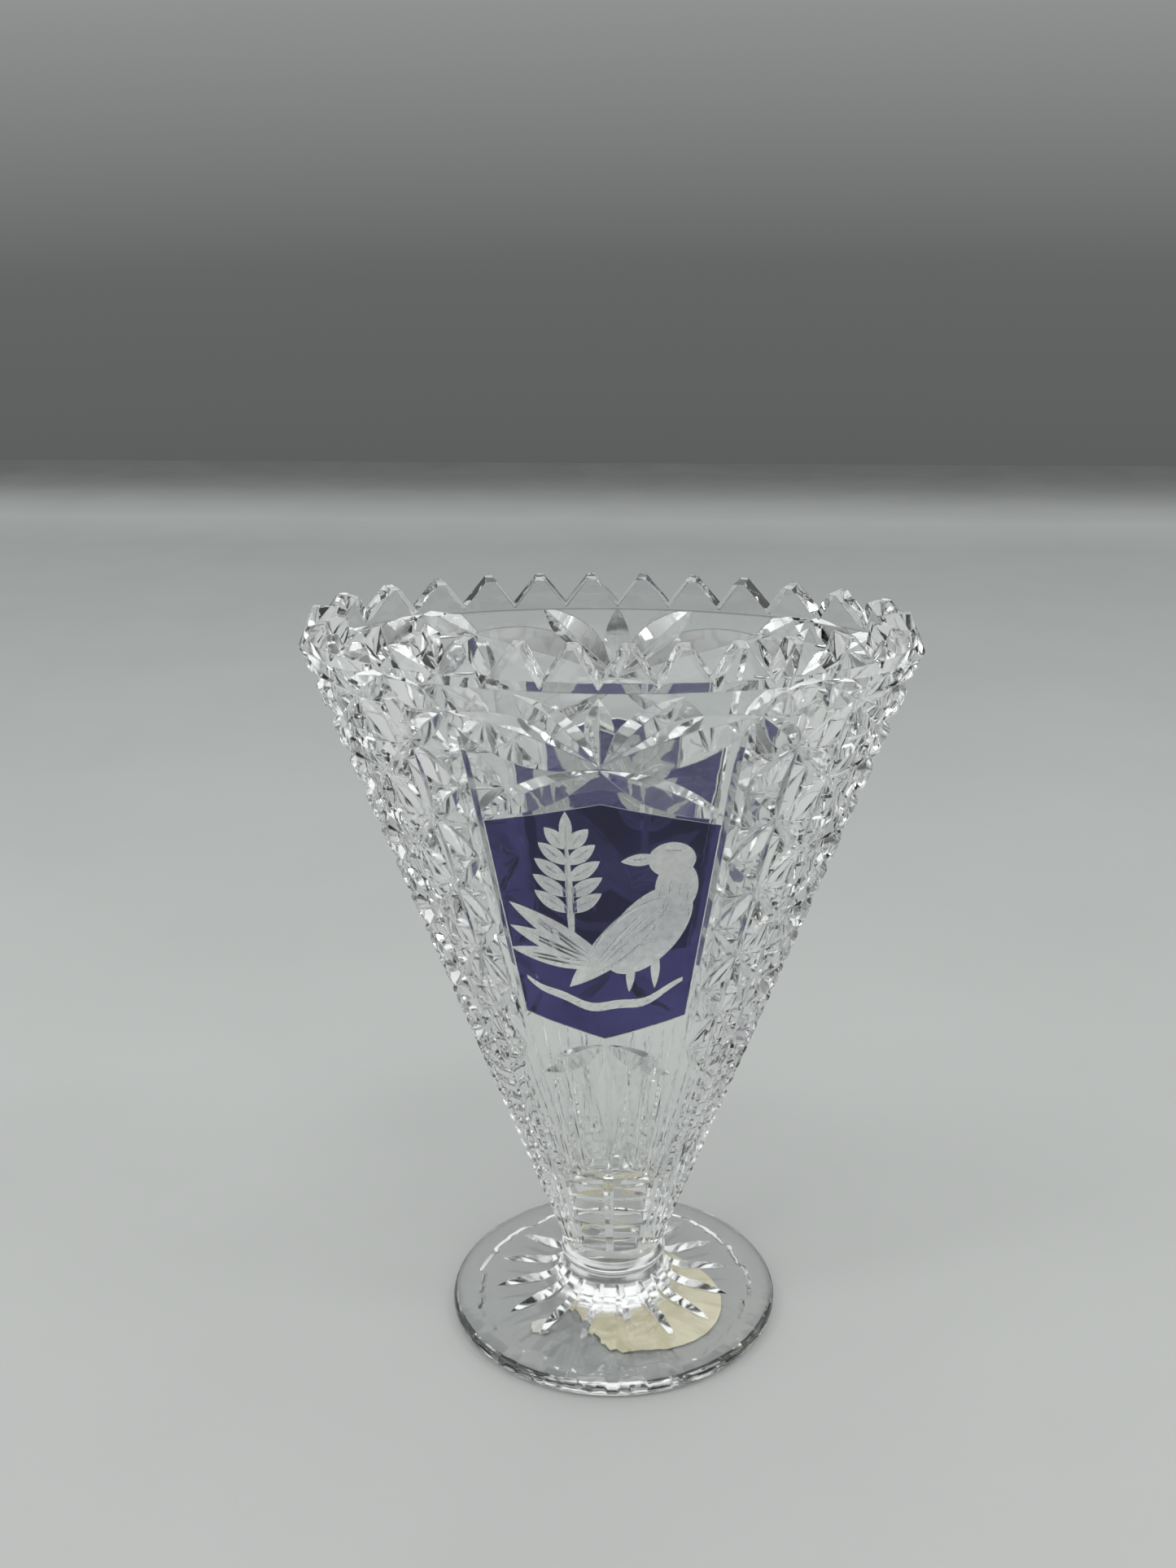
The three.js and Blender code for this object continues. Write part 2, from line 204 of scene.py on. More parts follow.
def wall(turn, height, inset=0.0):
    """Points of the bowl's outside, moved in level by the inset, for arrays of places."""
    turn, height, inset = np.broadcast_arrays(
        *(np.asarray(value, float) for value in (turn, height, inset))
    )
    width, depth = oval_axes(np.minimum(height, TOP))
    share = (turn / TEETH) % 1
    place = np.clip((depth / width - ASPECTS[0]) / (ASPECTS[1] - ASPECTS[0]), 0, len(ASPECTS) - 1.001)
    index = place.astype(int)
    angle = np.zeros(turn.shape)
    for i in np.unique(index):
        chosen = index == i
        low = np.interp(share[chosen], SHARES[i], ANGLES)
        high = np.interp(share[chosen], SHARES[i + 1], ANGLES)
        angle[chosen] = low + (high - low) * (place[chosen] - i)
    x, y = width * np.cos(angle), depth * np.sin(angle)
    normal = np.stack([x / width**2, y / depth**2], -1)
    normal /= np.linalg.norm(normal, axis=-1, keepdims=True)
    return np.stack([x - normal[..., 0] * inset, y - normal[..., 1] * inset, height], -1)


def outward(turn, height):
    """Unit normals of the bowl's outside."""
    turn, height = np.asarray(turn, float), np.asarray(height, float)
    step = 0.02
    around = wall(turn + step, height) - wall(turn - step, height)
    up = wall(turn, height + step) - wall(turn, height - step)
    normal = np.cross(around, up)
    return normal / np.linalg.norm(normal, axis=-1, keepdims=True)


def turn_at(x, height):
    """The turn on the front where the wall is at that x."""
    turns = np.linspace(-END, END, 201)
    return float(np.interp(x, wall(turns, np.full(201, height))[:, 0], turns))


# ---- Wheel cuts ----

# How far the cutters reach out of the wall, and the depth at a cut's end, just clear of the wall.
LIFT = 1.3
RUN_OUT = -0.04


def v_section(depth, slope):
    """Across and outward places of a V-section wheel at that depth."""
    half = slope * (depth + LIFT)
    return [(-half, LIFT), (0, -depth), (half, LIFT)]


def round_section(depth, radius):
    """The same for a wheel with a round edge of that radius."""
    reach = min(1.35, math.acos(max(-1, 1 - (depth + LIFT) / radius)))
    points = []
    for share in np.linspace(-1, 1, 9):
        angle = reach * share
        points.append((radius * math.sin(angle), radius * (1 - math.cos(angle)) - depth))
    half = points[-1][0]
    return [(-half, LIFT), *points, (half, LIFT)] if points[-1][1] < LIFT - 0.01 else points


def sweep(places, depths, shape, section=v_section):
    """Points and faces of one cutter whose edge follows places on the wall."""
    places = np.asarray(places, float)
    surface = wall(places[:, 0], places[:, 1])
    normal = outward(places[:, 0], places[:, 1])
    along = np.gradient(surface, axis=0)
    across = np.cross(along, normal)
    across /= np.linalg.norm(across, axis=1, keepdims=True)
    points = []
    for i, depth in enumerate(depths):
        outline = section(depth, shape)
        points += [surface[i] + across[i] * u + normal[i] * v for u, v in outline]
    count = len(points) // len(places)
    faces = ring_faces(len(places), count)
    last = (len(places) - 1) * count
    faces.append(tuple(reversed(range(count))))
    faces.append(tuple(range(last, last + count)))
    return np.array(points), faces


def line(start, end, count):
    return np.linspace(start, end, count)


def lens(start, end, depth, slope, count=9, section=v_section, ends=RUN_OUT, bend=(0, 0)):
    """A cut that is deepest in the middle and runs out at both ends, straight unless it is bent."""
    rise = 1 - np.linspace(-1, 1, count) ** 2
    places = line(start, end, count) + np.outer(rise, bend)
    return sweep(places, ends + (depth - ends) * rise, slope, section)


def even(start, end, depth, slope, count=7, section=v_section):
    """A straight cut of one depth, square at its ends."""
    return sweep(line(start, end, count), [depth] * count, slope, section)


def cutter_object(name, cutters):
    """One object of separate cutters that don't touch."""
    points, faces, first = [], [], 0
    for cutter_points, cutter_faces in cutters:
        points.append(cutter_points)
        for face in facing_out(cutter_points, cutter_faces):
            faces.append(tuple(first + i for i in face))
        first += len(cutter_points)
    return make_object(name, np.vstack(points), faces)


def mirrored(cutters_of_side):
    """Cutters for both sides of a face, and the same on the back."""
    made = []
    for side in (-1, 1):
        for back in (0, TEETH / 2):
            made += cutters_of_side(lambda turn, height: (back + side * turn, height))
    return made


def on_both_faces(cutters_of_face):
    made = []
    for back in (0, TEETH / 2):
        made += cutters_of_face(lambda turn, height: (back + turn, height))
    return made


# ---- The bowl's blank ----


def blank_bowl():
    turns = np.arange(TEETH * 10) / 10

    def ring(height, inset=0.0):
        return wall(turns, np.full(len(turns), height), inset)

    rings = [ring(height) for height in np.linspace(BOTTOM, BEAD, 24)]
    rings += [ring((BEAD + TOP) / 2), ring(TOP), ring(TOP, WALL), ring(BEAD, WALL)]
    rounding_top = CAVITY_FLOOR + CAVITY_ROUNDING
    rings += [ring(height, WALL) for height in np.linspace(BEAD, rounding_top, 18)[1:]]
    for degrees in (15, 30, 45, 60, 72, 82):
        angle = math.radians(degrees)
        narrow = ring(rounding_top, WALL) * math.cos(angle)
        narrow[:, 2] = rounding_top - CAVITY_ROUNDING * math.sin(angle)
        rings.append(narrow)
    return closed_loft("crystal_bowl", rings)


def tooth_notches():
    """V notches across the rim, rising a little towards the inside."""
    cutters = []
    reach, over = 3.0, 2.5
    tip_share = 0.87
    for tooth in range(TEETH):
        outer = wall([tooth, tooth - 1, tooth + 1], [TOP] * 3)
        normal = wall(tooth, TOP, -1) - wall(tooth, TOP)
        middle = wall(tooth, TOP)
        across = np.cross(normal, [0, 0, 1])
        half = np.linalg.norm(outer[1] - outer[2]) / 4
        slope = tip_share * half / TOOTH_HEIGHT
        points = []
        for distance, rise in ((reach, -0.5), (-WALL - reach, 1.4)):
            place = middle + normal * distance
            depth = TOOTH_HEIGHT - rise
            for side, height in ((-1, over), (0, -depth), (1, over)):
                points.append(place + across * side * slope * (depth + over) + np.array([0, 0, height]))
        faces = [(0, 1, 4, 3), (1, 2, 5, 4), (2, 0, 3, 5), (2, 1, 0), (3, 4, 5)]
        cutters.append((np.array(points), faces))
    return cutter_object("tooth_notches", cutters)


# ---- The star lattice ----


def star_scale(height):
    return np.interp(height, [ROWS[-1], ROWS[0]], [STAR_DEPTH_LOW / STAR_DEPTH_TOP, 1])


def lattice_depth(turn, height):
    """Depth of the main cuts: less near the border strips, on the end's knobs and lower down."""
    column = (turn % (TEETH / 2) - BORDER) / COLUMN_STEP
    from_border = np.minimum(column, 8 - column)
    knobs = 1 - 0.65 * np.exp(-(((column - 4) / 1.3) ** 4))
    return STAR_DEPTH_TOP * star_scale(height) * np.clip(0.35 + from_border * 1.6, 0.35, 1) * knobs


# The rows' heights with one more row above them and two below, as far as the cuts run on.
EXTENDED_ROWS = [ROWS[0] + 6.0, *ROWS, ROWS[-1] - 6.4, ROWS[-1] - 12.6]


def row_height(row):
    """Height of a row, counted from 0 at the top; parts of rows are allowed."""
    return np.interp(row, range(-1, len(EXTENDED_ROWS) - 1), EXTENDED_ROWS)


def column_turn(column):
    return BORDER + COLUMN_STEP * column


def lattice_line(start, end):
    """Places along a main cut between two crossings of the lattice, given as (column, row)."""
    steps = int(max(abs(end[0] - start[0]), abs(end[1] - start[1])) * 3) + 1
    columns = np.linspace(start[0], end[0], steps)
    rows = np.linspace(start[1], end[1], steps)
    return np.stack([column_turn(columns), row_height(rows)], 1)


def lattice_cutters():
    """The main cuts as batches of cutters that don't touch: verticals and the two diagonals."""
    last = len(ROWS) - 1
    slope = 1.4
    rise_over_rows = 3.2
    level_depth, knob_depth, knob_reach = 0.4, 2.9, 1.9
    batches = {"verticals": [], "rising": [], "falling": [], "levels": []}
    for end in (0, TEETH / 2):
        for column in range(1, 8):
            low = last + (0.9 if column in (1, 2, 6, 7) else 1.9)
            places = lattice_line((column, -0.5), (column, int(low)))
            places[:, 1] = np.linspace(ROWS[0] + rise_over_rows, row_height(low), len(places))
            places[:, 0] += end
            depths = lattice_depth(places[:, 0], places[:, 1])
            depths[0] = depths[-1] = RUN_OUT
            batches["verticals"].append(sweep(places, depths, slope))
        for kind, direction in (("rising", -1), ("falling", 1)):
            for start_row in range(-8, last + 9, 2):
                stops = [
                    (column, start_row + direction * column)
                    for column in range(9)
                    if -1 <= start_row + direction * column <= last + 1
                ]
                if len(stops) < 2:
                    continue
                places = lattice_line(stops[0], stops[-1])
                places[:, 0] += end
                depths = lattice_depth(places[:, 0], places[:, 1])
                for stop, index in ((stops[0], 0), (stops[-1], -1)):
                    if stop[1] in (-1, last + 1):
                        depths[index] = RUN_OUT
                batches[kind].append(sweep(places, depths, slope))
        for row in range(0, last + 1):
            turns = np.linspace(column_turn(0) + 0.02, column_turn(8) - 0.02, 33)
            at_end = np.exp(-(((turns - END) / (knob_reach * COLUMN_STEP)) ** 4))
            depths = (level_depth + knob_depth * at_end) * star_scale(ROWS[row])
            places = np.stack([turns + end, turns * 0 + ROWS[row]], 1)
            batches["levels"].append(sweep(places, depths, 0.68))
    return batches


RAY_LENGTH = 5.6


def star_rays():
    """Short cuts between the main ones, making each crossing a star of sixteen rays."""
    batches = {}
    for end in (0, TEETH / 2):
        for row, height in enumerate(ROWS):
            for column in range(9):
                if (column + row) % 2:
                    continue
                turn = column_turn(column) + end
                per_turn = np.linalg.norm(wall(turn + 0.1, height) - wall(turn - 0.1, height)) / 0.2
                scale = float(star_scale(height))
                depth = STAR_DEPTH_TOP * scale
                climb = (ROWS[0] - ROWS[1]) / (COLUMN_STEP * per_turn) * scale
                diagonal = math.atan(climb)
                for number in range(8):
                    quadrant = number // 2
                    base = diagonal / 2 if number % 2 == 0 else (diagonal + math.pi / 2) / 2
                    angle = [base, math.pi - base, math.pi + base, -base][quadrant]
                    if column == 0 and math.cos(angle) < 0 or column == 8 and math.cos(angle) > 0:
                        continue
                    reach = RAY_LENGTH * scale
                    far = (turn + reach * math.cos(angle) / per_turn, height + reach * math.sin(angle))
                    if far[1] > BEAD - 1:
                        continue
                    share = np.linspace(0.04, 1, 6)
                    near_depth = min(depth, float(lattice_depth(np.array(turn), np.array(height))))
                    depths = near_depth * (1 - share**2) - 0.02
                    places = np.array([turn, height]) + np.outer(share, np.subtract(far, (turn, height)))
                    batches.setdefault(number, []).append(sweep(places, depths, 0.75))
    return batches


# ---- The cuts on the two faces and the neck ----


def face_batches():
    strip = mirrored(lambda at: [
        sweep(
            line(at(2.615, ROWS[0] + 1.5), at(2.615, PANEL_BOTTOM - 7), 14),
            [RUN_OUT, 0.8, *np.linspace(1.2, 0.75, 10), 0.5, RUN_OUT], 1.5,
        )
    ])
    crown = mirrored(lambda at: [
        lens(at(0.02, STAR[1] + 0.2), at(1.42, BEAD - 0.6), 2.4, 1.4, 13),
    ])
    upright = on_both_faces(lambda at: [
        lens(at(0, STAR[1] - 0.4), at(0, BEAD - 0.8), 1.7, 1.6),
        lens(at(0, PANEL_BOTTOM - 9), at(0, BOTTOM + 23.5), 1.5, 1.7),
    ])
    arms = mirrored(lambda at: [
        lens(at(-0.03, STAR[1]), at(2.8, ROWS[0] + 0.3), 2.7, 1.7, 17),
        lens(at(0.02, PANEL_BOTTOM - 6.3), at(2.3, PANEL_BOTTOM - 14), 1.7, 1.4, 11),
    ])
    lower = mirrored(lambda at: [
        lens(at(-0.02, STAR[1] - 0.4), at(2.46, PANEL_TOP + 1.4), 2.2, 1.35, 15),
    ])
    flutes = mirrored(lambda at: [
        lens(at(1.0, PANEL_BOTTOM - 16), at(1.02, BOTTOM + 24.4), 1.2, 2.0, 11, round_section, 0.3),
        lens(at(1.75, PANEL_BOTTOM - 15), at(1.82, BOTTOM + 24.4), 1.2, 2.0, 11, round_section, 0.3),
    ])
    sides = mirrored(lambda at: [
        lens(at(turn, ROWS[-1] - 6.5), at(turn + 0.1, BOTTOM + 1.5), 0.5, 1.5, 11, v_section, 0.15)
        for turn in (2.5, 3.1, 3.7, 4.3, 4.9)
    ])
    steps = []
    step_count, first_step, pitch = 6, 4.6, 3.45
    for i in range(step_count):
        height = BOTTOM + first_step + pitch * i
        steps += mirrored(lambda at: [even(at(0.28, height), at(2.2, height), 1.3, 1.15, 9)])
    return {
        "strips": strip, "crowns": crown, "uprights": upright, "arms": arms, "lower_rays": lower,
        "flutes": flutes, "side_flutes": sides, "steps": steps,
    }


def end_notches():
    """Cuts across the narrow ends, below the lattice, that leave strings of beads."""
    cutters = []
    height = ROWS[-1] - 5.6
    pitch, reach = 3.3, 1.9
    while height > BOTTOM + 3.5:
        for end in (0, TEETH / 2):
            start, stop = end + END - reach, end + END + reach
            cutters.append(even((start, height), (stop, height), 1.5, 0.62, 19))
        height -= pitch
        pitch *= 0.985
    return cutters


# ---- The stained panels and their motif ----


def panel_block(name, outer, inner, margin):
    """A block of the front wall between two insets, inside the panel's outline less the margin."""
    across = np.linspace(-1, 1, 41)
    up = np.linspace(0, 1, 25)
    points = []
    for inset in (outer, inner):
        for v in up:
            for u in across:
                low = PANEL_BOTTOM - PANEL_PEAK * (1 - abs(u)) + margin
                high = PANEL_TOP + PANEL_PEAK * (1 - abs(u)) - margin
                height = low + (high - low) * v
                side = PANEL_TURN - margin / 7.5
                points.append(wall(side * u, height, inset))
    columns, rows = len(across), len(up)
    layer = columns * rows
    faces = []
    for r in range(rows - 1):
        for c in range(columns - 1):
            a = r * columns + c
            faces.append((a, a + 1, a + columns + 1, a + columns))
            b = a + layer
            faces.append((b, b + columns, b + columns + 1, b + 1))
    rim = [
        *range(columns),
        *range(2 * columns - 1, layer, columns),
        *range(layer - 2, layer - columns - 1, -1),
        *range(layer - 2 * columns, 0, -columns),
    ]
    for i, a in enumerate(rim):
        b = rim[(i + 1) % len(rim)]
        faces.append((b, a, a + layer, b + layer))
    points = np.array(points)
    return make_object(name, points, facing_out(points, faces))


def leaf_outline(x0, z0, x1, z1, width, grow=0.0):
    """A pointed leaf between two points, its widest place a bit before the middle."""
    start, end = np.array([x0, z0]), np.array([x1, z1])
    length = np.linalg.norm(end - start)
    along = (end - start) / length
    across = np.array([-along[1], along[0]])
    t = np.linspace(0, 1, 15)
    half = (width / 2 + grow) * (np.sin(np.pi * t) ** 0.8) * (1.08 - 0.16 * t)
    middle = start - along * grow + np.outer(t, along * (length + 2 * grow))
    left, right = middle + np.outer(half, across), middle - np.outer(half, across)
    return np.vstack([right, left[-2:0:-1]])


def oval_outline(x, z, half_length, half_width, tilt, grow=0.0):
    t = np.linspace(0, 2 * math.pi, 36, endpoint=False)
    u, v = (half_length + grow) * np.cos(t), (half_width + grow) * np.sin(t)
    return np.stack([
        x + u * math.cos(tilt) - v * math.sin(tilt), z + u * math.sin(tilt) + v * math.cos(tilt)
    ], 1)


def twig_outline(grow=0.0):
    t = np.linspace(-1, 1, 25)
    x = 14.5 * t
    middle = 2.6 + 5.6 * t**2 + 0.4 * np.sin(9 * t)
    half = (1.0 - 0.55 * t**4) + grow
    return np.vstack([np.stack([x, middle - half], 1), np.stack([x, middle + half], 1)[::-1]])


def motif(grow=0.0):
    """Outlines of a plain small bird on a twig beside a sprig, from the panel's lower corners."""
    shapes = [
        oval_outline(8.2, 19.5, 11.2, 5.9, 0.93, grow),
        oval_outline(13.4, 28.5, 5.8, 3.9, 1.45, grow),
        oval_outline(12.6, 34.4, 4.3, 3.7, 0.1, grow),
        leaf_outline(10.4, 34.9, 3.4, 34.1, 2.6, grow),
        leaf_outline(14.5, 29.5, -6.5, 6.6, 7.6, grow),
        leaf_outline(5.2, 13.5, 4.6, 5.9, 1.7, grow),
        leaf_outline(9.6, 15.5, 9.3, 6.6, 1.7, grow),
        leaf_outline(-5.6, 12.5, -6.4, 40, 1.5, grow),
        leaf_outline(-6.4, 37.2, -6.4, 44.2, 2.4, grow),
        twig_outline(grow),
    ]
    for lift in (8.2, 13.2, 18.4):
        shapes.append(leaf_outline(1.5, 11.8, -17.4, 6 + lift, 4.3, grow))
    for lift, reach in ((23.0, 6.2), (26.4, 6.4), (29.8, 6.0), (33.2, 5.2), (36.4, 4.0)):
        for side in (-1, 1):
            shapes.append(
                leaf_outline(-6.3, lift, -6.3 + side * reach, lift + 4.4, 3.0, grow)
            )
    return [shape + [0, PANEL_BOTTOM] for shape in shapes]


def prism(name, outline):
    """An outline in X and Z carried from inside the bowl out past its front."""
    count = len(outline)
    near = [(x, -HALF_DEPTH - 4, z) for x, z in outline]
    far = [(x, -6, z) for x, z in outline]
    faces = [tuple(range(count)), tuple(reversed(range(count, 2 * count)))]
    for i in range(count):
        j = (i + 1) % count
        faces.append((j, i, count + i, count + j))
    points = np.array(near + far)
    return make_object(name, points, facing_out(points, faces))


def less_motif(block, grow):
    cutters = [prism(f"{block.name}_shape_{i}", shape) for i, shape in enumerate(motif(grow))]
    for cutter in cutters:
        cut(block, cutter)
    finished(block)
    drop(cutters)
    return block


def turned_copy(thing, name):
    """A copy turned half round, for the back of the vase."""
    copy = thing.copy()
    copy.data = thing.data.copy()
    copy.name = copy.data.name = name
    copy.data.transform(Matrix.Rotation(math.pi, 4, "Z"))
    bpy.context.scene.collection.objects.link(copy)
    return copy


def motif_lines():
    """Fine engraved lines on the motif: veins of the leaves and feathers of the bird."""
    strokes = []

    def stroke(x0, z0, x1, z1, depth=0.42, slope=0.8):
        ends = [(turn_at(x, PANEL_BOTTOM + z), PANEL_BOTTOM + z) for x, z in ((x0, z0), (x1, z1))]
        strokes.append([ends, depth, slope])

    for lift in (8.2, 13.2, 18.4):
        for shift in (-0.5, 0.6):
            stroke(-2.0, 11 + lift * 0.1 + shift, -15.4, 5.6 + lift * 0.97 + shift * 0.6)
    for lift, reach in ((23.0, 6.2), (26.4, 6.4), (29.8, 6.0), (33.2, 5.2), (36.4, 4.0)):
        for side in (-1, 1):
            stroke(-6.3 + side * 0.9, lift + 0.7, -6.3 + side * (reach - 0.9), lift + 3.7, 0.3)
    stroke(-6.4, 21, -6.4, 43.2, 0.3)
    for shift in (-1.3, 0.1, 1.5):
        stroke(10.2 + shift * 0.75, 24.6 - shift * 0.8, -1.5 + shift * 0.3, 11.4 - shift * 0.3)
    for x, z in ((10.8, 29.5), (12.6, 30.3), (14.4, 30), (15.8, 28.6), (11.5, 26.6), (14.6, 26.4), (16, 25)):
        stroke(x, z, x - 0.6, z - 3.1, 0.28)
    stroke(9.2, 34.9, 4.6, 34.3, 0.2)
    stroke(10.2, 36.4, 15.6, 36.2, 0.25)
    for x in (-11, -8.4, -5.8, -3.2, -0.6, 2.2, 7, 10.4):
        stroke(x, 2.2 + 0.026 * x * x, x + 1.8, 2.9 + 0.026 * x * x, 0.2)
    return strokes


# ---- Building the bowl ----

bowl = blank_bowl()
scrap = []


def take_out(name, cutters):
    cutter = cutter_object(name, cutters) if isinstance(cutters, list) else cutters
    scrap.append(cutter)
    cut(bowl, cutter)


take_out("notches", tooth_notches())
for name, cutters in lattice_cutters().items():
    take_out(name, cutters)
for number, cutters in star_rays().items():
    take_out(f"rays_{number}", cutters)
for name, cutters in face_batches().items():
    take_out(name, cutters)
take_out("end_notches", end_notches())

front_seat = less_motif(panel_block("front_seat", -1.5, STAIN_SEAT, 0.0), -0.06)
take_out("front_seat", front_seat)
take_out("back_seat", turned_copy(front_seat, "back_seat"))
strokes = motif_lines()
for batch in range(3):
    take_out(f"strokes_{batch}", [
        lens(*[(turn + back, z) for turn, z in ends], depth, slope, 5)
        for ends, depth, slope in strokes[batch::3] for back in (0, TEETH / 2)
    ])

for name, bend in (("wing_low", (0.34, -2.3)), ("wing_high", (-0.34, 2.3))):
    shoulder, tip = [(turn_at(x, PANEL_BOTTOM + z), PANEL_BOTTOM + z) for x, z in ((12.6, 27.2), (-3.4, 9.2))]
    take_out(name, [
        lens((shoulder[0] + back, shoulder[1]), (tip[0] + back, tip[1]), 0.5, 0.85, 15, bend=bend)
        for back in (0, TEETH / 2)
    ])

finished(bowl)
open_end(bowl, BOTTOM)
drop(scrap)

# ---- The stained panels ----

front_panel = less_motif(panel_block("front_stain", STAIN_TOP, STAIN_LOW, 0.08), 0.0)
back_panel = turned_copy(front_panel, "back_stain")

# ---- Collar and foot ----

FOOT_RADIUS = FOOT_HIGH[0]
FOOT_TOP = FOOT_HIGH[2]
FOOT_EDGE = 3.4
EDGE_ROUNDING = 1.65
HOLLOW_RADIUS = FOOT_RADIUS - 5.9
HOLLOW_DEPTH = 0.8
FOOT_CUTS = 16
LUMPS = ((0.3, 7, 1.1), (0.22, 13, 0.3), (0.2, 23, 2.2), (0.16, 41, 4.0), (0.12, 67, 0.9))


def lathe(name, outline, slices=160, wobble=None):
    """A body turned about Z from (radius, height) pairs that start and end on the axis."""
    rings = []
    for radius, height in outline[1:-1]:
        angles = np.arange(slices) * 2 * math.pi / slices
        radii = radius + (wobble(radius, height, angles) if wobble else 0 * angles)
        rings.append(np.stack([radii * np.cos(angles), radii * np.sin(angles), angles * 0 + height], 1))
    return closed_loft(name, rings)


def collar():
    low, high = FOOT_TOP, BOTTOM
    bulge = COLLAR_HIGH[0] - NECK_RADIUS
    outline = [(0, low), (NECK_RADIUS, low)]
    for share in np.linspace(0.08, 0.92, 9):
        radius = NECK_RADIUS + bulge * math.sin(math.pi * share)
        outline.append((radius, low + (high - low) * share))
    outline += [(NECK_RADIUS, high), (0, high)]
    ring = finished(lathe("crystal_collar", outline, 260), 50)
    return open_end(open_end(ring, low), high)


def foot_top(radius):
    """Height of the foot's top: a hollow flare from the neck, then a shallow slope to the edge."""
    flare = 17.0
    low = FOOT_TOP - (FOOT_TOP - FOOT_EDGE) * 0.7
    if radius < flare:
        share = (flare - radius) / (flare - NECK_RADIUS)
        return FOOT_TOP - (FOOT_TOP - low) * math.cos(math.asin(min(1, share)))
    return low + (FOOT_EDGE - low) * (radius - flare) / (FOOT_RADIUS - EDGE_ROUNDING - flare)


def lumps(radius, height, angles):
    """The hand-finished unevenness of the standing ring's inner edge."""
    near = math.exp(-(((radius - HOLLOW_RADIUS) / 0.9) ** 2)) * (height < 1.2)
    return near * sum(size * np.sin(count * angles + phase) for size, count, phase in LUMPS)


def foot():
    outline = [(0, HOLLOW_DEPTH), (HOLLOW_RADIUS - 8, HOLLOW_DEPTH), (HOLLOW_RADIUS - 1.0, HOLLOW_DEPTH)]
    outline += [(HOLLOW_RADIUS - 0.3, 0.6), (HOLLOW_RADIUS + 0.3, 0.2), (HOLLOW_RADIUS + 0.9, 0)]
    outline += [(FOOT_RADIUS - EDGE_ROUNDING, 0)]
    for degrees in range(-70, 91, 20):
        angle = math.radians(degrees)
        radius = FOOT_RADIUS - EDGE_ROUNDING * (1 - math.cos(angle))
        outline.append((radius, EDGE_ROUNDING + EDGE_ROUNDING * math.sin(angle)))
    for radius in (*np.linspace(31.3, 18, 9), *np.linspace(17, NECK_RADIUS, 14)):
        outline.append((radius, foot_top(radius)))
    outline += [(0, FOOT_TOP)]
    body = lathe("crystal_foot", outline, 240, lumps)
    cutters = []
    for i in range(FOOT_CUTS):
        angle = math.radians((i + 0.5) * 360 / FOOT_CUTS)
        radii = np.linspace(10.25, 25, 16)
        t = np.linspace(0, 1, 16)
        depths = np.interp(t, [0, 0.12, 0.45, 0.8, 1], [0.5, 0.75, 0.95, 0.6, -0.1])
        points = []
        slopes = np.gradient([foot_top(r) for r in radii], radii)
        for radius, depth, rise in zip(radii, depths, slopes):
            normal = np.array([-rise, 1.0]) / math.hypot(rise, 1)
            for u, v in v_section(depth, 1.75):
                r, z = radius + normal[0] * v, foot_top(radius) + normal[1] * v
                points.append((
                    r * math.cos(angle) - u * math.sin(angle), r * math.sin(angle) + u * math.cos(angle), z
                ))
        faces = ring_faces(len(radii), 3)
        last = 3 * (len(radii) - 1)
        faces += [(2, 1, 0), (last, last + 1, last + 2)]
        cutters.append((np.array(points), faces))
    cutter = cutter_object("foot_rays", cutters)
    cut(body, cutter)
    finished(body, 16)
    drop([cutter])
    return open_end(body, FOOT_TOP)


def paper(name, centre, radius, height, thickness, seed, ragged, tear=None):
    """A scrap of paper lying level, with an uneven edge and a slight cockle."""
    slices, rings = 120, 10
    angles = np.arange(slices) * 2 * math.pi / slices
    random = np.random.default_rng(seed)
    edge = np.ones(slices)
    for count in (5, 9, 17, 31, 47):
        edge += ragged * np.sin(count * angles + random.uniform(0, 6.28)) / count**0.5
    if tear:
        near = np.exp(-((np.angle(np.exp(1j * (angles - tear))) / 0.24) ** 6))
        edge += near * (0.1 + 0.03 * np.sin(40 * angles))
    points = []
    for side in (1, -1):
        for ring in range(1, rings + 1):
            for angle, reach in zip(angles, edge):
                r = radius * reach * ring / rings
                x, y = centre[0] + r * math.cos(angle), centre[1] + r * math.sin(angle)
                cockle = 0.04 * math.sin(0.9 * x + 0.5 * y) * math.sin(0.6 * y - 0.3 * x)
                points.append((x, y, height + cockle + side * thickness / 2))
    layer = slices * rings
    points += [(centre[0], centre[1], height + side * thickness / 2) for side in (1, -1)]
    faces = []
    for first, turned in ((0, False), (layer, True)):
        quads = ring_faces(rings, slices, first)
        middle = 2 * layer + (1 if turned else 0)
        fan = [(middle, first + i, first + (i + 1) % slices) for i in range(slices)]
        for face in (*[tuple(reversed(q)) for q in quads], *fan):
            faces.append(tuple(reversed(face)) if turned else face)
    outer = (rings - 1) * slices
    for i in range(slices):
        j = (i + 1) % slices
        faces.append((outer + j, outer + i, layer + outer + i, layer + outer + j))
    points = np.array(points)
    return finished(make_object(name, points, facing_out(points, faces)), 50)


# ---- Materials ----


CRYSTAL_IOR, STAIN_IOR = 1.545, 1.5


def new_material(name):
    material = bpy.data.materials.new(name)
    material.use_nodes = True
    nodes = material.node_tree.nodes
    shader = nodes["Principled BSDF"]
    return material, nodes, material.node_tree.links, shader


def noise(nodes, links, scale, detail=3.0, roughness=0.5):
    """A noise texture on the object's own coordinates."""
    place = nodes.new("ShaderNodeTexCoord")
    texture = nodes.new("ShaderNodeTexNoise")
    texture.inputs["Scale"].default_value = scale
    texture.inputs["Detail"].default_value = detail
    texture.inputs["Roughness"].default_value = roughness
    links.new(place.outputs["Object"], texture.inputs["Vector"])
    return texture.outputs["Fac"]


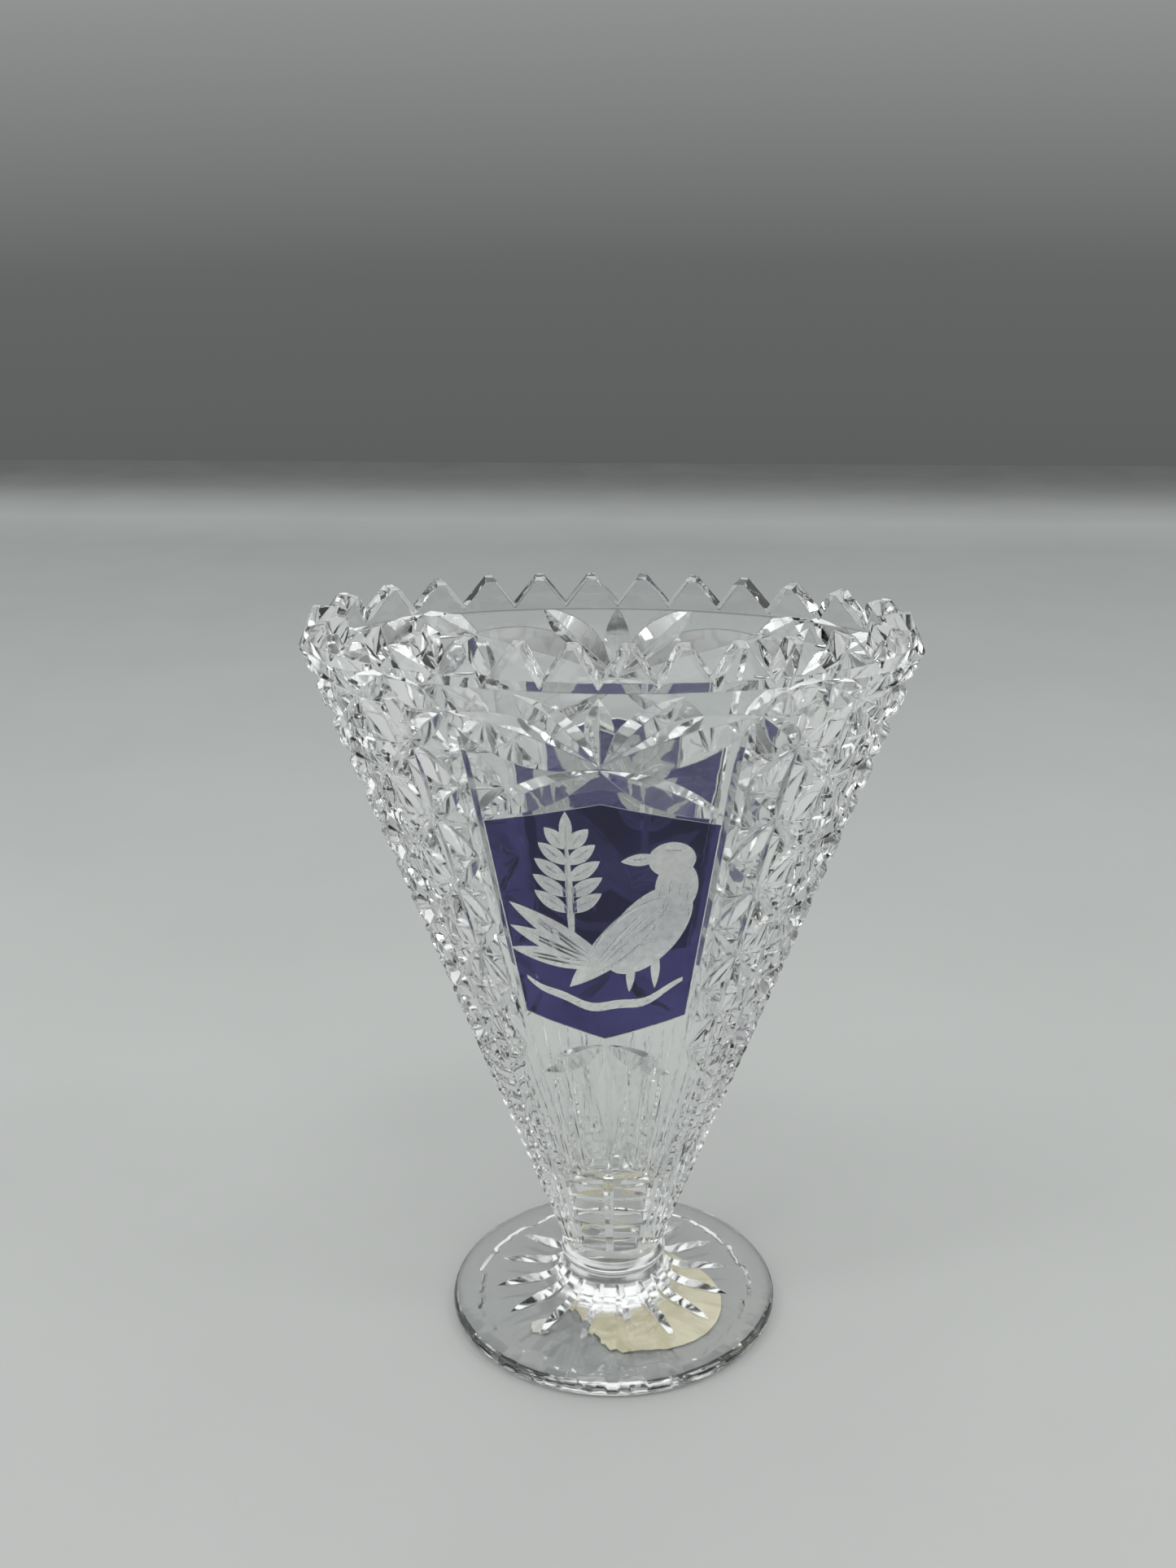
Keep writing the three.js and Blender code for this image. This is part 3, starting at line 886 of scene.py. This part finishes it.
def spread(nodes, links, value, low, high):
    """The value carried from the noise's middle range to low and high."""
    mapping = nodes.new("ShaderNodeMapRange")
    mapping.inputs["From Min"].default_value = 0.3
    mapping.inputs["From Max"].default_value = 0.7
    mapping.inputs["To Min"].default_value = low
    mapping.inputs["To Max"].default_value = high
    links.new(value, mapping.inputs["Value"])
    return mapping.outputs["Result"]


def ramp(nodes, links, value, stops):
    """Colours along the value, as (place, colour) pairs."""
    colours = nodes.new("ShaderNodeValToRGB")
    elements = colours.color_ramp.elements
    while len(elements) < len(stops):
        elements.new(0.5)
    for element, (place, colour) in zip(elements, stops):
        element.position = place
        element.color = (*colour, 1)
    links.new(value, colours.inputs["Fac"])
    return colours.outputs["Color"]


def bump(nodes, links, shader, height, strength, distance, softened=0.0):
    relief = nodes.new("ShaderNodeBump")
    if softened:
        edges = nodes.new("ShaderNodeBevel")
        edges.samples = 4
        edges.inputs["Radius"].default_value = softened
        links.new(edges.outputs["Normal"], relief.inputs["Normal"])
    relief.inputs["Strength"].default_value = strength
    relief.inputs["Distance"].default_value = distance
    links.new(height, relief.inputs["Height"])
    links.new(relief.outputs["Normal"], shader.inputs["Normal"])


def crystal(name, low, high, waviness):
    """Clear lead crystal: nearly smooth, with the faint waves and haze of pressed and cut glass."""
    material, nodes, links, shader = new_material(name)
    shader.inputs["Transmission Weight"].default_value = 1.0
    shader.inputs["IOR"].default_value = CRYSTAL_IOR
    stops = [(0.35, (0.97, 0.985, 0.98)), (0.65, (1.0, 1.0, 1.0))]
    links.new(ramp(nodes, links, noise(nodes, links, 45), stops), shader.inputs["Base Color"])
    links.new(spread(nodes, links, noise(nodes, links, 260), low, high), shader.inputs["Roughness"])
    bump(nodes, links, shader, noise(nodes, links, 170, 2.0), waviness, 0.0004, 0.0003)
    return material


def satin_cut():
    """The motif's cut surface, left satin, so that it looks pale against the stain."""
    material, nodes, links, shader = new_material("satin_cut_crystal")
    shader.inputs["Transmission Weight"].default_value = 0.45
    shader.inputs["IOR"].default_value = CRYSTAL_IOR
    stops = [(0.3, (0.60, 0.61, 0.59)), (0.7, (0.78, 0.79, 0.77))]
    links.new(ramp(nodes, links, noise(nodes, links, 700, 4.0), stops), shader.inputs["Base Color"])
    links.new(spread(nodes, links, noise(nodes, links, 900), 0.25, 0.42), shader.inputs["Roughness"])
    bump(nodes, links, shader, noise(nodes, links, 1100, 4.0), 0.3, 0.00015)
    return material


def inside(outline, x, z):
    """True where the points (x, z) are in the outline."""
    found = np.zeros(len(x), bool)
    for (x0, z0), (x1, z1) in zip(outline, np.roll(outline, -1, axis=0)):
        crosses = (z0 > z) != (z1 > z)
        reach = x0 + (x1 - x0) * (z - z0) / (z1 - z0 if z1 != z0 else 1e-9)
        found ^= crosses & (x < reach)
    return found


def face_data(thing):
    """Centres in millimetres and unit normals of an object's faces."""
    count = len(thing.data.polygons)
    centres, normals = np.zeros(count * 3, np.float32), np.zeros(count * 3, np.float32)
    thing.data.polygons.foreach_get("center", centres)
    thing.data.polygons.foreach_get("normal", normals)
    return centres.reshape(-1, 3) / MM, normals.reshape(-1, 3)


def panel_outline():
    places = [
        (-PANEL_TURN, PANEL_BOTTOM), (0, PANEL_BOTTOM - PANEL_PEAK), (PANEL_TURN, PANEL_BOTTOM),
        (PANEL_TURN, PANEL_TOP), (0, PANEL_TOP + PANEL_PEAK), (-PANEL_TURN, PANEL_TOP),
    ]
    return np.array([wall(turn, height)[[0, 2]] for turn, height in places])


CLEAR, SATIN, WHEEL_CUT = 0, 1, 2


def bowl_finishes(thing):
    """The finish of each face: polished, satin on the motif, or fresh from the wheel in the cuts."""
    centres, normals = face_data(thing)
    x, y, z = centres.T
    width, depth = oval_axes(z)
    level = np.hypot(x / width, y / depth)
    slope = np.hypot(x / width**2, y / depth**2) / np.maximum(level, 0.01)
    inset = (1 - level) / np.maximum(slope, 0.01)
    outward_x, outward_y = x / width**2, y / depth**2
    facing = (normals[:, 0] * outward_x + normals[:, 1] * outward_y) / np.hypot(outward_x, outward_y)
    cut_away = (inset > 0.1) & (inset < WALL - 0.4) & (facing > 0.05) & (z < BEAD - 0.5)
    finish = np.where(cut_away, WHEEL_CUT, CLEAR)
    for side in (-1, 1):
        across = -side * x
        outer = (side * y > 0) & (facing > 0.1)
        finish[outer & inside(panel_outline(), across, z)] = CLEAR
        surface = outer & (inset < 0.05)
        for outline in motif(0.0):
            finish[surface & inside(outline, across, z)] = SATIN
    return finish.astype(np.int32)


def foot_finishes(thing):
    centres, normals = face_data(thing)
    radius = np.hypot(centres[:, 0], centres[:, 1])
    top = np.array([foot_top(value) for value in radius])
    cut_away = (centres[:, 2] < top - 0.1) & (centres[:, 2] > 1.6) & (radius < 26)
    return np.where((normals[:, 2] > 0.1) & (cut_away | (radius < 15)), 1, 0).astype(np.int32)


def stained_glass():
    """The violet-blue stain, a little uneven and deeper towards red-violet in places."""
    material, nodes, links, shader = new_material("violet_blue_stain")
    shader.inputs["Transmission Weight"].default_value = 1.0
    shader.inputs["IOR"].default_value = STAIN_IOR
    stops = [(0.35, (0.048, 0.04, 0.18)), (0.65, (0.08, 0.07, 0.26))]
    links.new(ramp(nodes, links, noise(nodes, links, 90), stops), shader.inputs["Base Color"])
    links.new(spread(nodes, links, noise(nodes, links, 400), 0.02, 0.08), shader.inputs["Roughness"])
    bump(nodes, links, shader, noise(nodes, links, 150, 2.0), 0.25, 0.0006)
    return material


def label_paper(name, pale, dark):
    material, nodes, links, shader = new_material(name)
    stops = [(0.3, dark), (0.6, pale)]
    links.new(ramp(nodes, links, noise(nodes, links, 160, 8.0, 0.65), stops), shader.inputs["Base Color"])
    links.new(spread(nodes, links, noise(nodes, links, 900), 0.75, 0.95), shader.inputs["Roughness"])
    bump(nodes, links, shader, noise(nodes, links, 2500, 4.0), 0.25, 0.0001)
    return material


def table_top():
    """A pale, faintly mottled table with light and shade painted in: greyer towards its far edge as painted
    shade, a painted highlight band near that edge, then painted shade deepening to near black at the edge.
    """
    material, nodes, links, shader = new_material("pale_table")
    place = nodes.new("ShaderNodeTexCoord")
    split = nodes.new("ShaderNodeSeparateXYZ")
    links.new(place.outputs["Object"], split.inputs["Vector"])
    distance = nodes.new("ShaderNodeMapRange")
    distance.inputs["From Min"].default_value = -0.25
    distance.inputs["From Max"].default_value = 0.8
    links.new(split.outputs["Y"], distance.inputs["Value"])
    # Painted light and shade along Y: paler at the front, greyer further back, a painted highlight band near
    # the far edge, and painted shade to near black at the edge.
    painted_light_and_shade = ramp(nodes, links, distance.outputs["Result"], [
        (0.0, (0.43, 0.435, 0.425)), (0.35, (0.40, 0.41, 0.40)), (0.63, (0.30, 0.315, 0.31)),
        (0.82, (0.235, 0.245, 0.24)), (0.87, (0.27, 0.28, 0.275)), (0.9, (0.21, 0.22, 0.215)),
        (0.94, (0.095, 0.1, 0.097)), (0.97, (0.052, 0.054, 0.053)), (1.0, (0.04, 0.042, 0.041)),
    ])
    mottle = ramp(nodes, links, noise(nodes, links, 9, 5.0), [(0.3, (0.94, 0.94, 0.94)), (0.7, (1, 1, 1))])
    both = nodes.new("ShaderNodeMix")
    both.data_type = "RGBA"
    both.blend_type = "MULTIPLY"
    both.inputs["Factor"].default_value = 1.0
    links.new(painted_light_and_shade, both.inputs["A"])
    links.new(mottle, both.inputs["B"])
    links.new(both.outputs["Result"], shader.inputs["Base Color"])
    links.new(spread(nodes, links, noise(nodes, links, 30), 0.5, 0.58), shader.inputs["Roughness"])
    shader.inputs["Specular IOR Level"].default_value = 0.3
    return material


def use(thing, material):
    thing.data.materials.clear()
    thing.data.materials.append(material)
    return thing


glass = crystal("lead_crystal", 0.0, 0.03, 0.12)
foot_glass = crystal("lead_crystal_foot", 0.02, 0.08, 0.3)
stain = stained_glass()

joining_collar = collar()
base = foot()
LABEL_RADIUS, PAPER_RADIUS = 15, 14.8
label_centre = [(LABEL_LOW[0] + LABEL_HIGH[0]) / 2, LABEL_HIGH[1] - LABEL_RADIUS]
label_height = (LABEL_LOW[2] + LABEL_HIGH[2]) / 2
label = paper(
    "base_label_paper", label_centre, PAPER_RADIUS, label_height, 0.12, 5, 0.006, math.radians(248)
)
residue = paper("label_residue", (-13.5, -14.5), 2.1, label_height, 0.1, 11, 0.16)

use(bowl, glass)
wheel_cut = crystal("lead_crystal_wheel_cut", 0.03, 0.08, 0.12)
bowl.data.materials.append(satin_cut())
bowl.data.materials.append(wheel_cut)
bowl.data.polygons.foreach_set("material_index", bowl_finishes(bowl))
use(joining_collar, foot_glass)
use(base, foot_glass)
base.data.materials.append(crystal("lead_crystal_foot_cut", 0.11, 0.15, 0.25))
base.data.polygons.foreach_set("material_index", foot_finishes(base))
use(front_panel, stain)
use(back_panel, stain)
use(label, label_paper("aged_label_paper", (0.90, 0.84, 0.60), (0.80, 0.72, 0.46)))
use(residue, label_paper("paper_residue", (0.86, 0.85, 0.80), (0.70, 0.69, 0.64)))

for piece, node, slot in (
    (bowl, "bowl", "crystal_bowl"),
    (joining_collar, "joining_collar", "crystal_collar"),
    (base, "foot", "crystal_foot"),
    (front_panel, "front_blue_panel", "blue_stain"),
    (back_panel, "back_blue_panel", "blue_stain"),
    (label, "base_label", "label_paper"),
):
    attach(piece, "root")
    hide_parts(node)
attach(residue, "root")

# ---- Table, surroundings and lights ----

TABLE_HALF_WIDTH, TABLE_FRONT, TABLE_BACK = 2200.0, -2200.0, 800.0
TABLE_DROP = 0.05
EDGE_RADIUS = 12.0


def table_slab():
    """A wide table with a rounded far edge, a hair below the foot."""
    profile = [(TABLE_FRONT, -60), (TABLE_FRONT, -TABLE_DROP)]
    for degrees in range(90, -1, -6):
        angle = math.radians(degrees)
        profile.append((
            TABLE_BACK + EDGE_RADIUS * math.cos(angle),
            -TABLE_DROP - EDGE_RADIUS + EDGE_RADIUS * math.sin(angle),
        ))
    profile.append((TABLE_BACK + EDGE_RADIUS, -60))
    count = len(profile)
    points = np.array([(side * TABLE_HALF_WIDTH, y, z) for side in (-1, 1) for y, z in profile])
    faces = [tuple(range(count)), tuple(reversed(range(count, 2 * count)))]
    for i in range(count):
        j = (i + 1) % count
        faces.append((i, j, count + j, count + i))
    return make_object("table", points, facing_out(points, faces))


table = table_slab()
use(finished(table, 60), table_top())

world = bpy.data.worlds.new("studio")
bpy.context.scene.world = world
world.use_nodes = True
sky_nodes, sky_links = world.node_tree.nodes, world.node_tree.links
direction = sky_nodes.new("ShaderNodeTexCoord")
split = sky_nodes.new("ShaderNodeSeparateXYZ")
sky_links.new(direction.outputs["Generated"], split.inputs["Vector"])
height_share = sky_nodes.new("ShaderNodeMapRange")
height_share.inputs["From Min"].default_value = -1.0
height_share.inputs["From Max"].default_value = 1.0
sky_links.new(split.outputs["Z"], height_share.inputs["Value"])


def grey(value):
    return (value * 0.98, value, value * 0.995)


# The sky's brightness by height: a dark backdrop behind the vase, and a paler room on other sides.
backdrop = ramp(sky_nodes, sky_links, height_share.outputs["Result"], [
    (0.0, grey(0.3)), (0.38, grey(0.105)), (0.44, grey(0.13)), (0.5, grey(0.28)),
    (0.6, grey(0.7)), (0.75, grey(1.0)), (1.0, grey(1.1)),
])
room = ramp(sky_nodes, sky_links, height_share.outputs["Result"], [
    (0.0, grey(0.3)), (0.42, grey(0.4)), (0.5, grey(0.62)),
    (0.6, grey(0.9)), (0.75, grey(1.1)), (1.0, grey(1.1)),
])
behind = sky_nodes.new("ShaderNodeMapRange")
behind.interpolation_type = "SMOOTHSTEP"
behind.inputs["From Min"].default_value = 0.45
behind.inputs["From Max"].default_value = 0.86
sky_links.new(split.outputs["Y"], behind.inputs["Value"])
sky = sky_nodes.new("ShaderNodeMix")
sky.data_type = "RGBA"
sky_links.new(behind.outputs["Result"], sky.inputs["Factor"])
sky_links.new(room, sky.inputs["A"])
sky_links.new(backdrop, sky.inputs["B"])
sky_links.new(sky.outputs["Result"], sky_nodes["Background"].inputs["Color"])


def softbox(name, place, aim, width, depth, power):
    light = bpy.data.lights.new(name, "AREA")
    light.shape = "RECTANGLE"
    light.size, light.size_y = width, depth
    light.energy = power
    thing = bpy.data.objects.new(name, light)
    thing.location = place
    thing.rotation_euler = (Vector(aim) - Vector(place)).to_track_quat("-Z", "Y").to_euler()
    bpy.context.scene.collection.objects.link(thing)
    return thing


MIDDLE = (0, 0, 0.08)
softbox("softbox_left", (-0.8, -0.45, 0.9), MIDDLE, 0.26, 0.2, 1.8)
softbox("softbox_right", (0.8, -0.2, 0.95), MIDDLE, 0.26, 0.2, 1.6)
softbox("softbox_top", (0.1, -0.5, 1.3), MIDDLE, 0.32, 0.22, 1.8)

# ---- Camera ----

camera_data = bpy.data.cameras.new("camera")
camera_data.lens = 44.93
camera_data.sensor_width = 36
camera_data.clip_start = 0.01
camera_data.clip_end = 20
camera = bpy.data.objects.new("camera", camera_data)
bpy.context.scene.collection.objects.link(camera)
bpy.context.scene.camera = camera
CAMERA_PLACE = (0.0233, -0.3425, 0.2526)
heading, down, roll = math.radians(4.58), math.radians(21.73), math.radians(-0.67)
forward = Matrix.Rotation(heading, 3, "Z") @ Vector((0, math.cos(down), -math.sin(down)))
level = forward.cross(Vector((0, 0, 1))).normalized()
upright = level.cross(forward)
right = level * math.cos(roll) + upright * math.sin(roll)
up = right.cross(forward)
turned = Matrix((right, up, -forward)).transposed().to_4x4()
camera.matrix_world = Matrix.Translation(CAMERA_PLACE) @ turned

bpy.context.scene.view_settings.view_transform = "Standard"
